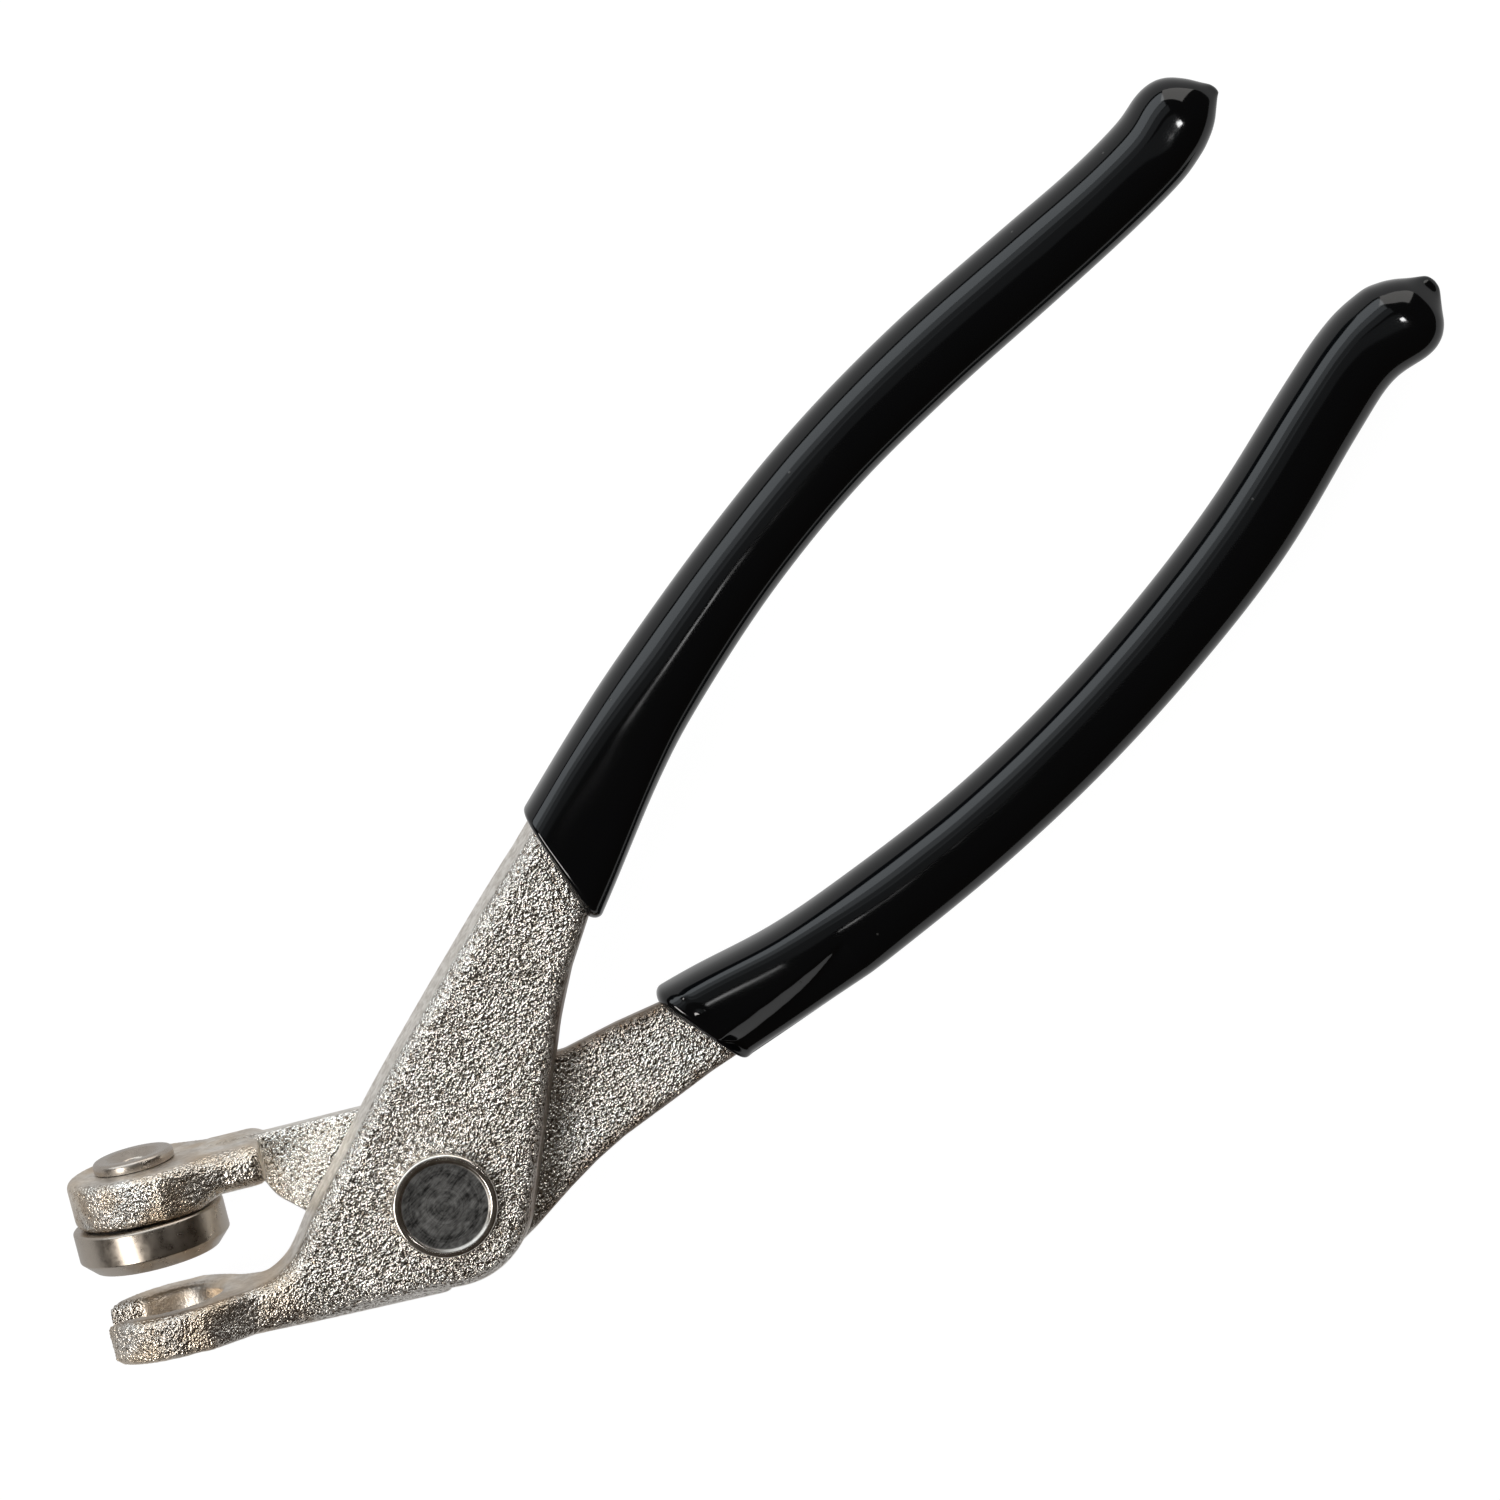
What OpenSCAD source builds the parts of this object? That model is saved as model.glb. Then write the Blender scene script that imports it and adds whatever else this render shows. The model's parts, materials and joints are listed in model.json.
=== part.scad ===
// Plunger fastener pliers: two crossed flat levers on one rivet, a forked lower jaw,
// a riveted presser disc on the upper jaw, and dipped grips.
// Built round the pivot: +X runs along the handles, +Z through the pivot rivet.

/* [Levers] */
// Thickness of each lever's flat web
web_t = 6; // [5:0.5:7]
// Gap between the two webs
web_gap = 0.1; // [0.05:0.05:0.2]
// Radius of the webs round the pivot
boss_r = 10.4; // [9.5:0.1:12]
// Direction of the jaws, measured from the handles' axis
jaw_angle = 145; // [140:1:150]

/* [Pivot rivet] */
// Diameter of the rivet's shank
pivot_d = 8; // [6:0.5:10]
// Diameter of the rivet's two heads
pivot_head_d = 11.8; // [11:0.2:14]
// Height of each rivet head
pivot_head_h = 1.2; // [0.8:0.1:2]
// Radial clearance of the lever that turns on the rivet
run_clear = 0.05; // [0.02:0.01:0.1]

/* [Forked jaw] */
// Distance along the jaw from the pivot to the centre of the fork
fork_reach = 32.2; // [30:0.2:35]
// Outer radius of the fork
fork_r = 9; // [8:0.1:10]
// Radius of the round seat between the prongs
seat_r = 5.5; // [5:0.1:6]
// Width of the open mouth between the prong tips
mouth_w = 9; // [7:0.5:9.5]
// Thickness of the fork
fork_t = 5; // [4:0.1:6]
// Depth of the fork's top face below the pivot's centre line
fork_drop = 4.1; // [3.5:0.1:5]

/* [Presser jaw] */
// Distance along the jaw from the pivot to the disc's axis
disc_reach = 32.6; // [30:0.2:35]
// Gap between the presser disc and the fork as the pliers rest
jaw_gap = 5.1; // [4:0.1:7]
// Diameter of the presser disc
disc_d = 17.2; // [15:0.1:18]
// Thickness of the presser disc
disc_t = 5; // [4:0.1:6]
// Radius of the jaw's round pad
pad_r = 8; // [7:0.1:8.4]
// Thickness of the pad
pad_t = 5.7; // [5:0.1:6.5]
// Diameter of the disc rivet's shank
disc_rivet_d = 5; // [4:0.2:6]
// Diameter of the disc rivet's head on the pad
disc_rivet_head_d = 9.2; // [8:0.1:10]

/* [Grips] */
// Thickness of the dipped coating over the edges of the lever
coat = 1.2; // [0.8:0.1:1.5]
// Thickness of the dipped coating over the flat faces of the lever
coat_face = 2; // [1.5:0.1:2.5]

/* [Hidden] */
$fn = 96;

steel = [0.66, 0.64, 0.61];
dark_steel = [0.30, 0.29, 0.29];
bright_steel = [0.76, 0.74, 0.71];
black_vinyl = [0.03, 0.03, 0.035];

axial_play = 0.1;                // gap beside each part that turns
fork_neck = 3;                   // how far the fork's neck reaches behind the middle plane
step_a = 18;                     // where each jaw's full width starts
web_low = web_gap / 2;           // nearest face of a web to the middle plane
web_top = web_low + web_t;

// Places across the jaws, along the disc's axis, upwards from the pivot's centre line.
fork_b = -fork_drop;
disc_b = fork_b + jaw_gap;
pad_b = disc_b + disc_t + axial_play;
pad_top_b = pad_b + pad_t;
neck_b = pad_b + 0.8;             // the neck's underside is higher than the pad's
fork_under_b = fork_b - fork_t;

// The disc rivet's lower head lies in a recess in the disc's face.
recess_d = 9;
recess_h = 1.5;
disc_chamfer = 1.5;
lower_head_h = 1.1;
upper_head_h = 1.2;

// Middle line of each handle: x, y, half width across and half thickness of the grip.
grip_half_t = web_t / 2 + coat_face;
fork_handle = [[26, 12.4, 7.2, grip_half_t], [36, 14.9, 6.6, grip_half_t],
               [50, 18.5, 5.6, grip_half_t], [60, 20.4, 5.15, grip_half_t],
               [75, 22.2, 4.8, grip_half_t], [90, 22.8, 4.8, grip_half_t],
               [105, 21.9, 4.95, grip_half_t], [120, 20, 4.9, grip_half_t],
               [131, 18.6, 4.75, grip_half_t], [138.5, 18.1, 4.75, grip_half_t]];
presser_handle = [[26, -7.6, 6.2, grip_half_t], [34.6, -10.2, 5.95, grip_half_t],
                  [44.6, -13.4, 5.35, grip_half_t], [54.6, -15.8, 5.2, grip_half_t],
                  [69.7, -18.5, 5, grip_half_t], [84.7, -19.9, 5, grip_half_t],
                  [99.7, -20.1, 5.1, grip_half_t], [114.8, -19, 5.1, grip_half_t],
                  [129.8, -16.3, 4.9, grip_half_t], [137.5, -15.2, 4.85, grip_half_t]];
// Rounded end of each grip, with the drip that hardens at its tip.
fork_end = [[142.5, 18.7, 4.6, 4.5], [145.1, 18.5, 3.8, 3.8], [146.9, 17.7, 2.6, 2.6],
            [148.1, 17.4, 1.6, 1.6], [148.9, 17.3, 0.8, 0.8]];
presser_end = [[142.2, -16, 4.9, 4.6], [145.4, -16.6, 4, 3.9], [147.3, -16.4, 2.4, 2.4],
               [148.5, -16.2, 1.4, 1.4], [149.2, -16.1, 0.7, 0.7]];

// A smooth curve through the points p, with n steps between each two.
function blend(a, b, c, d, t) =
    0.5 * (2 * b + (c - a) * t + (2 * a - 5 * b + 4 * c - d) * t * t
           + (3 * b - a - 3 * c + d) * t * t * t);
function curve(p, n) =
    [for (i = [0:len(p) - 2]) for (k = [0:n - 1])
        blend(p[max(i - 1, 0)], p[i], p[i + 1], p[min(i + 2, len(p) - 1)], k / n),
     p[len(p) - 1]];
function arc(r, from, to, n) =
    [for (k = [0:n]) let (a = from + (to - from) * k / n) r * [cos(a), sin(a)]];

// The unit vector to the left of the row i, and the edge of the rows on one side.
function left(rows, i) =
    let (d = rows[min(i + 1, len(rows) - 1)] - rows[max(i - 1, 0)])
    [-d[1], d[0]] / norm([d[0], d[1]]);
function edge(rows, side, inset) =
    [for (i = [0:len(rows) - 1])
        [rows[i][0], rows[i][1]] + side * (rows[i][2] - inset) * left(rows, i)];
function reversed(p) = [for (i = [len(p) - 1:-1:0]) p[i]];
function jaw_point(a, b) =
    [a * cos(jaw_angle) + b * sin(jaw_angle), a * sin(jaw_angle) - b * cos(jaw_angle)];

fork_rows = curve(concat(fork_handle, fork_end), 3);
presser_rows = curve(concat(presser_handle, presser_end), 3);

// The tang inside each grip follows the same middle line and stops short of the drip.
fork_tang = [for (r = curve(fork_handle, 3)) if (r[0] > 34) r];
presser_tang = [for (r = curve(presser_handle, 3)) if (r[0] > 31) r];

// The frame's origin is under the middle of the pliers as they lie on a bench.
tip_a = fork_reach + sqrt(fork_r * fork_r - mouth_w * mouth_w / 4);
x_low = jaw_point(tip_a, fork_under_b)[0];
x_high = max([for (rows = [fork_rows, presser_rows]) rows[len(rows) - 1][0]]);
y_low = min([for (p = edge(presser_rows, -1, 0)) p[1]]);
y_high = max([for (a = [0:5:90])
              jaw_point(disc_reach + pad_r * cos(a), pad_top_b)[1]]);
to_frame = [-(x_low + x_high) / 2, -(y_low + y_high) / 2, fork_r];

// Turns a shape drawn along the jaw, with its second axis across it, into place.
module along_jaw() {
    rotate([0, 0, jaw_angle]) mirror([0, 1, 0]) children();
}

// Extrudes a shape drawn along and beside the jaw, upwards from height b.
module across_jaw(b, h) {
    along_jaw() translate([0, b, 0]) rotate([-90, 0, 0]) linear_extrude(h) children();
}

// Stands a turned shape on the disc's axis, with its own axis pointing away from the fork.
module on_disc_axis(b) {
    along_jaw() translate([disc_reach, b, 0]) rotate([-90, 0, 0]) children();
}

// Outline of the lever that carries the fork.
module fork_outline() {
    under = [jaw_point(24, fork_under_b)];
    round_end = arc(boss_r, 234, 303, 12);
    below = [[19.8, 0.6], [24, 3.3], [29, 6.1]];
    above = curve([[33, 19.9], [26, 18.7], [14, 16.4], [4, 14.3], [-4, 12.3], [-10.2, 10.9],
                   [-14.5, 9.5], [-17.2, 8.9], [-19.2, 9], jaw_point(23, fork_b)], 3);
    polygon(concat(under, round_end, below, edge(fork_tang, -1, coat),
                   reversed(edge(fork_tang, 1, coat)), above));
}

// Outline of the lever that carries the presser disc.
module presser_outline() {
    jaw_side = [jaw_point(24, neck_b), jaw_point(19.5, neck_b)];
    left_edge = curve([[-12.4, 14.6], [-12.4, 13.4], [-11.9, 11], [-11, 6], [-boss_r, 0]], 3);
    round_end = arc(boss_r, 190, 262, 12);
    below = [[4, -10.6], [9.8, -10.6], [14, -10.8], [18, -11.3], [25.8, -13]];
    above = [[27, -1.9], [21, 0.5], jaw_point(6, pad_top_b - 0.1), jaw_point(24, pad_top_b - 0.1)];
    polygon(concat(jaw_side, left_edge, round_end, below, edge(presser_tang, -1, coat),
                   reversed(edge(presser_tang, 1, coat)), above));
}

module fork_plate() {
    translate([0, 0, web_low]) linear_extrude(web_t) fork_outline();
}

module presser_plate() {
    translate([0, 0, -web_top]) linear_extrude(web_t) presser_outline();
}

// The fork seen from above: a round end with a seat that is open at the tip.
module fork_plan() {
    difference() {
        union() {
            translate([fork_reach, 0]) circle(fork_r);
            polygon([[step_a, -fork_neck], [25, -fork_neck - 0.6], [29, -fork_r + 0.7],
                     [29, fork_r - 0.7], [21, web_top], [step_a, web_top]]);
        }
        translate([fork_reach, 0]) circle(seat_r);
        translate([fork_reach, -mouth_w / 2]) square([2 * fork_r, mouth_w]);
    }
}

// The pad seen from above: a round end on a narrower neck.
module pad_plan() {
    translate([disc_reach, 0]) circle(pad_r);
    polygon([[step_a, -web_top], [23, -web_top], [30, -pad_r + 0.5],
             [30, pad_r - 0.5], [23, web_top], [step_a, web_top]]);
}

module fork_lever() {
    root = [[step_a, fork_b + 1], [step_a, fork_under_b - 0.3], [24, fork_under_b],
            [fork_reach + 2 * fork_r, fork_under_b], [fork_reach + 2 * fork_r, fork_b],
            [21, fork_b]];
    color(steel) difference() {
        union() {
            fork_plate();
            intersection() {
                across_jaw(fork_under_b - 2, fork_t + 5) fork_plan();
                along_jaw() translate([0, 0, -fork_r - 1]) linear_extrude(2 * fork_r + 2)
                    polygon(root);
            }
        }
        cylinder(d = pivot_d, h = 4 * web_t, center = true);
    }
}

module presser_lever() {
    // Side view of the pad and its neck, which is thinner below.
    side = [[step_a, neck_b], [24, neck_b], [26.5, pad_b], [disc_reach + 2 * pad_r, pad_b],
            [disc_reach + 2 * pad_r, pad_top_b], [step_a, pad_top_b - 0.1]];
    color(steel) difference() {
        union() {
            presser_plate();
            intersection() {
                across_jaw(pad_b, pad_t) pad_plan();
                along_jaw() translate([0, 0, -2 * pad_r]) linear_extrude(4 * pad_r)
                    polygon(side);
            }
        }
        cylinder(d = pivot_d + 2 * run_clear, h = 4 * web_t, center = true);
        on_disc_axis(pad_b - 1) cylinder(d = disc_rivet_d, h = pad_t + 2);
    }
}

// The rivet holds the fork lever fast and lets the presser lever turn.
module pivot_rivet() {
    shank_low = -web_top - axial_play;
    rim = 0.5;
    r = pivot_head_d / 2;
    color(dark_steel) rotate_extrude()
        polygon([[0, shank_low - pivot_head_h], [r - rim, shank_low - pivot_head_h],
                 [r, shank_low - pivot_head_h + rim], [r, shank_low],
                 [pivot_d / 2, shank_low], [pivot_d / 2, web_top], [r, web_top],
                 [r, web_top + pivot_head_h - rim], [r - rim, web_top + pivot_head_h],
                 [0, web_top + pivot_head_h]]);
}

// Round disc that swivels on its rivet under the pad.
module presser_disc() {
    r = disc_d / 2;
    bore = disc_rivet_d / 2 + run_clear;
    color(bright_steel) on_disc_axis(disc_b) rotate_extrude()
        polygon([[recess_d / 2, 0], [r - disc_chamfer, 0], [r, disc_chamfer], [r, disc_t],
                 [bore, disc_t], [bore, recess_h], [recess_d / 2, recess_h]]);
}

// Rivet with a flat lower head in the disc and a dished upper head on the pad.
module disc_rivet() {
    shank = disc_rivet_d / 2;
    lower = recess_d / 2 - 0.2;
    lower_top = recess_h - axial_play;
    pad_top = pad_top_b - disc_b;
    head = disc_rivet_head_d / 2;
    top = pad_top + upper_head_h;
    color(bright_steel) on_disc_axis(disc_b) rotate_extrude()
        polygon([[0, lower_top - lower_head_h], [lower, lower_top - lower_head_h],
                 [lower, lower_top], [shank, lower_top], [shank, pad_top], [head, pad_top],
                 [head, top - 0.4], [head - 0.4, top], [head - 1.2, top],
                 [1.6, top - 0.8], [1.4, top - 1.8], [0, top - 1.8]]);
}

// A ring of points round row i: a rectangle with well rounded corners.
ring_n = 16;
function soften(v) = sign(v) * pow(abs(v), 0.62);
function ring(rows, i, z) =
    let (side = left(rows, i))
    [for (k = [0:ring_n - 1]) let (a = (k + 0.5) * 360 / ring_n)
        [rows[i][0] + side[0] * rows[i][2] * soften(cos(a)),
         rows[i][1] + side[1] * rows[i][2] * soften(cos(a)),
         z + rows[i][3] * soften(sin(a))]];

// Skin of a grip swept along its rows.
module swept(rows, z) {
    last = len(rows) - 1;
    points = [for (i = [0:last]) for (p = ring(rows, i, z)) p];
    sides = [for (i = [0:last - 1]) for (k = [0:ring_n - 1])
             let (j = (k + 1) % ring_n, a = i * ring_n)
             [a + k, a + j, a + ring_n + j, a + ring_n + k]];
    start_cap = [for (k = [ring_n - 1:-1:0]) k];
    end_cap = [for (k = [0:ring_n - 1]) last * ring_n + k];
    polyhedron(points, concat(sides, [start_cap, end_cap]));
}

// Removes the skin on the pivot's side of a slanted mouth.
module mouth_cut(x, y, slant) {
    translate([x, y, 0]) rotate([0, 0, slant]) translate([-40, -20, -20]) cube(40);
}

module fork_lever_grip() {
    color(black_vinyl) difference() {
        swept(fork_rows, web_low + web_t / 2);
        mouth_cut(36.6, 15.2, -12);
        fork_plate();
    }
}

module presser_lever_grip() {
    color(black_vinyl) difference() {
        swept(presser_rows, -web_low - web_t / 2);
        mouth_cut(32.6, -9.5, 5);
        presser_plate();
    }
}

translate(to_frame) fork_lever();
translate(to_frame) presser_lever();
translate(to_frame) pivot_rivet();
translate(to_frame) presser_disc();
translate(to_frame) disc_rivet();
translate(to_frame) fork_lever_grip();
translate(to_frame) presser_lever_grip();
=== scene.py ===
import json
import math

import bpy
import numpy as np
from mathutils import Matrix, Vector


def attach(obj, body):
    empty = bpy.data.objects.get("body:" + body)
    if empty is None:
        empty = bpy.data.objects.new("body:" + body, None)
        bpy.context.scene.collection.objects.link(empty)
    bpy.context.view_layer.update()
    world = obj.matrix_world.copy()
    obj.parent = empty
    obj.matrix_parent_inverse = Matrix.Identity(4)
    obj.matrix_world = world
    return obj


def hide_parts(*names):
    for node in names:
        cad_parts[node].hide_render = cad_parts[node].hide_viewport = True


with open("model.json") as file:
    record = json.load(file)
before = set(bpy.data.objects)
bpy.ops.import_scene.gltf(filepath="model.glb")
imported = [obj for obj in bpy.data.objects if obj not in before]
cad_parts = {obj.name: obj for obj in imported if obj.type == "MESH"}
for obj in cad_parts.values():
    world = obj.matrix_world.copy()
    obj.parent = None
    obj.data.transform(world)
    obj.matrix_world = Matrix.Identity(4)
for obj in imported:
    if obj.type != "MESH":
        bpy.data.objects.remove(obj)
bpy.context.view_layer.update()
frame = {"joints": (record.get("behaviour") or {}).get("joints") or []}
joints = {joint["name"]: joint for joint in frame["joints"]}
PIVOT = np.array(joints["pivot"]["pos_m"])      # metres, in the row frame

# ---------------------------------------------------------------- sizes, mm, round the pivot
# x runs along the handles, z along the pivot's axis; a runs out along the jaws and b across them.
JAW_TURN = math.radians(145)                    # from the handles' direction to the jaws'
COS_JAW, SIN_JAW = math.cos(JAW_TURN), math.sin(JAW_TURN)
WEB_LOW, WEB_TOP = 0.05, 6.05                   # the fork lever's web; the presser's is mirrored
DRAFT = 0.13                                    # slope of the forged walls
BOSS_R = 10.4                                   # round end of both webs, about the pivot
RIVET_R, HEAD_R, HEAD_T = 4.0, 5.9, 1.2         # the pivot rivet's shank and its two heads
STEP_A = 18.0                                   # where the jaws step out of their webs
FORK_REACH, FORK_R = 32.2, 9.0                  # the fork's ring
SEAT_R, MOUTH = 5.5, 9.0                        # its machined seat, and its slot's width
FORK_B, FORK_UNDER = -4.1, -9.1                 # its two faces
DISC_REACH, DISC_R = 32.6, 8.6
DISC_B, DISC_T = 1.0, 5.0                       # the disc's lower face and its thickness
SHANK_R = 2.5                                   # the disc rivet's shank
PAD_R, PAD_B, PAD_TOP = 8.0, 6.1, 11.8          # the presser's round pad and its two faces
NECK_B = PAD_B + 0.8                            # the neck's face behind the pad
TANG_INSET = 1.2                                # the vinyl's thickness on the tangs' edges
TANG_SEEN, TANG_END = 44, 62                    # the tangs' shown and planned ends, in the grips

# Along each handle's middle line: x, y and half the width; at the ends half the thickness too.
GRIP_HALF_T = 5.0
FORK_ROWS = [(26, 12.4, 7.2), (36, 14.9, 6.6), (50, 18.5, 5.6), (60, 20.4, 5.15),
             (75, 22.2, 4.8), (90, 22.8, 4.8), (105, 21.9, 4.95), (120, 20, 4.9),
             (131, 18.6, 4.75), (138.5, 18.1, 4.75)]
FORK_END = [(142.4, 18.45, 4.8, 4.5), (144.6, 18.6, 4.4, 4), (146.2, 18.5, 3.6, 3.2),
            (147.5, 18.15, 2.35, 2.2), (148.4, 17.65, 1.2, 1.2), (148.9, 17.35, 0.6, 0.6),
            (149, 17.3, 0.1, 0.1)]
PRESSER_ROWS = [(26, -7.6, 6.2), (34.6, -10.2, 5.95), (44.6, -13.4, 5.35), (54.6, -15.8, 5.2),
                (69.7, -18.5, 5), (84.7, -19.9, 5), (99.7, -20.05, 5.05), (114.8, -19, 5.1),
                (129.8, -16.3, 4.9), (137.5, -15.2, 4.85)]
PRESSER_END = [(142.6, -16, 5.2, 4.6), (144.8, -16.4, 4.7, 4.1), (146.3, -16.5, 3.75, 3.3),
               (147.3, -16.4, 2.7, 2.3), (148.1, -16.3, 1.9, 1.4), (148.8, -16.2, 1.2, 0.8),
               (149.1, -16.15, 0.7, 0.45), (149.2, -16.15, 0.1, 0.1)]

# Mesh fineness
GRID_STEP = 0.3
GRIP_SIDES = 128
RING_STEP = 0.25         # between a grip's rings near its mouth
TURNED_SIDES = 128


def jaw_point(a, b):
    """The x and y of a point a out along the jaws and b across them."""
    return (a * COS_JAW + b * SIN_JAW, a * SIN_JAW - b * COS_JAW)


def to_row(p):
    """mm round the pivot to metres in the row frame."""
    return np.asarray(p, float) / 1000 + PIVOT


# ---------------------------------------------------------------- curves
def catmull(p, n):
    """A smooth curve through the points p, with n steps to each stretch."""
    p = np.array(p, float)
    out = []
    for i in range(len(p) - 1):
        a, b, c, d = p[max(i - 1, 0)], p[i], p[i + 1], p[min(i + 2, len(p) - 1)]
        for k in range(n):
            t = k / n
            out.append(0.5 * (2 * b + (c - a) * t + (2 * a - 5 * b + 4 * c - d) * t * t
                              + (3 * b - a - 3 * c + d) * t ** 3))
    out.append(p[-1])
    return np.array(out)


def arc(radius, start, end, n):
    """An arc round the pivot, in degrees, with n steps."""
    t = np.radians(np.linspace(start, end, n + 1))
    return np.stack([radius * np.cos(t), radius * np.sin(t)], 1)


def edge(rows, side, inset):
    """One edge of a handle: side is 1 on the left of its middle line and -1 on the right."""
    d = np.gradient(rows[:, :2], axis=0)
    n = np.stack([-d[:, 1], d[:, 0]], 1) / np.linalg.norm(d, axis=1)[:, None]
    return rows[:, :2] + side * (rows[:, 2:3] - inset) * n


# ---------------------------------------------------------------- distance fields
def polygon_field(poly, x, y):
    """Signed distance to a closed polygon, negative inside."""
    p = np.asarray(poly, float)
    q = np.roll(p, -1, axis=0)
    best = np.full(x.shape, 1e9)
    inside = np.zeros(x.shape, bool)
    for (ax, ay), (bx, by) in zip(p, q):
        ex, ey = bx - ax, by - ay
        length = ex * ex + ey * ey
        if length < 1e-9:
            continue
        t = np.clip(((x - ax) * ex + (y - ay) * ey) / length, 0, 1)
        best = np.minimum(best, (x - ax - t * ex) ** 2 + (y - ay - t * ey) ** 2)
        if ay != by:
            crosses = ((ay > y) != (by > y)) & (x < ex * (y - ay) / (by - ay) + ax)
            inside ^= crosses
    d = np.sqrt(best)
    return np.where(inside, -d, d)


def meet(a, b, r):
    """Both fields at once, with a rounded outer edge of radius r."""
    return (np.sqrt(np.maximum(a + r, 0) ** 2 + np.maximum(b + r, 0) ** 2)
            + np.minimum(np.maximum(a + r, b + r), 0) - r)


def join(a, b, r):
    """Either field, with a fillet of radius r between them."""
    return -meet(-a, -b, r)


def cut(a, b):
    """The first field without the second, with a sharp edge."""
    return np.maximum(a, -b)


def ramp(x, a, b):
    """From 0 at a to 1 at b, smoothly."""
    t = np.clip((x - a) / (b - a), 0, 1)
    return t * t * (3 - 2 * t)


class Grid:
    """Evenly spaced points for a field. x, y, a and b have a last axis of 1, and z varies along it."""

    def __init__(self, low, high, step):
        self.low, self.step = np.array(low, float), step
        axes = [np.arange(l, h + step, step) for l, h in zip(low, high)]
        x, y = np.meshgrid(axes[0], axes[1], indexing="ij")
        self.x, self.y = x[:, :, None], y[:, :, None]
        self.z = axes[2][None, None, :]
        self.a = self.x * COS_JAW + self.y * SIN_JAW
        self.b = self.x * SIN_JAW - self.y * COS_JAW

    def plan(self, field_of):
        """A field of the a-z plane, looked up from a fine table."""
        step = 0.2
        a_low, a_high = self.a.min() - 1, self.a.max() + 1
        z_low, z_high = float(self.z.min()), float(self.z.max())
        a, z = np.meshgrid(np.arange(a_low, a_high + step, step),
                           np.arange(z_low, z_high + step, step), indexing="ij")
        table = field_of(a, z)
        i, k = np.broadcast_arrays((self.a - a_low) / step, (self.z - z_low) / step)
        i0 = np.clip(i.astype(int), 0, table.shape[0] - 2)
        k0 = np.clip(k.astype(int), 0, table.shape[1] - 2)
        u, v = i - i0, k - k0
        return ((table[i0, k0] * (1 - u) + table[i0 + 1, k0] * u) * (1 - v)
                + (table[i0, k0 + 1] * (1 - u) + table[i0 + 1, k0 + 1] * u) * v)


def sample(field, grid, p):
    """The field and its gradient at points p."""
    def share(t, far_side):
        return t if far_side else 1 - t

    g = (p - grid.low) / grid.step
    i = np.clip(np.floor(g).astype(int), 0, np.array(field.shape) - 2)
    f = g - i
    v = {}
    for c in np.ndindex(2, 2, 2):
        v[c] = field[i[:, 0] + c[0], i[:, 1] + c[1], i[:, 2] + c[2]]
    value = sum(v[c] * share(f[:, 0], c[0]) * share(f[:, 1], c[1]) * share(f[:, 2], c[2]) for c in v)
    slope = np.zeros_like(p)
    for axis in range(3):
        j, k = [other for other in range(3) if other != axis]
        for c in v:
            sign = 1 if c[axis] else -1
            slope[:, axis] += sign * v[c] * share(f[:, j], c[j]) * share(f[:, k], c[k])
    return value, slope / grid.step


# ---------------------------------------------------------------- a field's surface
def crossed_cells(field, grid, inside):
    """The grid's cells that the surface crosses: their numbers, -1 elsewhere, and a point in each."""
    shape = np.array(field.shape)
    corners = list(np.ndindex(2, 2, 2))
    count = np.zeros(shape - 1, np.int8)
    for i, j, k in corners:
        count += inside[i:shape[0] - 1 + i, j:shape[1] - 1 + j, k:shape[2] - 1 + k]
    active = (count > 0) & (count < 8)
    number = np.full(active.shape, -1)
    number[active] = np.arange(active.sum())
    cell = np.argwhere(active)
    value = {c: field[cell[:, 0] + c[0], cell[:, 1] + c[1], cell[:, 2] + c[2]] for c in corners}
    total, hits = np.zeros((len(cell), 3)), np.zeros(len(cell))
    for c in corners:
        for axis in range(3):
            if c[axis]:
                continue
            d = tuple(1 if k == axis else c[k] for k in range(3))
            crossed = (value[c] < 0) != (value[d] < 0)
            t = np.where(crossed, value[c] / np.where(crossed, value[c] - value[d], 1), 0)
            where = np.array(c, float)[None, :].repeat(len(cell), 0)
            where[:, axis] = t
            total[crossed] += where[crossed]
            hits[crossed] += 1
    return number, grid.low + grid.step * (cell + total / hits[:, None])


def crossed_edges(inside, number):
    """A quad round each of the grid's edges that the surface crosses, facing outwards."""
    quads = []
    for axis in range(3):
        u, v = (axis + 1) % 3, (axis + 2) % 3
        first, second = [slice(None)] * 3, [slice(None)] * 3
        first[axis], second[axis] = slice(0, -1), slice(1, None)
        low, high = inside[tuple(first)], inside[tuple(second)]
        at = np.argwhere(low != high)
        at = at[(at[:, u] > 0) & (at[:, v] > 0)
                & (at[:, u] < inside.shape[u] - 1) & (at[:, v] < inside.shape[v] - 1)]
        outward = low[at[:, 0], at[:, 1], at[:, 2]]
        du, dv = np.eye(3, dtype=int)[u], np.eye(3, dtype=int)[v]
        ring = [number[tuple((at - s * du - t * dv).T)] for s, t in ((1, 1), (0, 1), (0, 0), (1, 0))]
        quad = np.stack(ring, 1)
        quad[~outward] = quad[~outward][:, ::-1]
        quads.append(quad)
    quads = np.concatenate(quads)
    return quads[(quads >= 0).all(1)]


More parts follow.
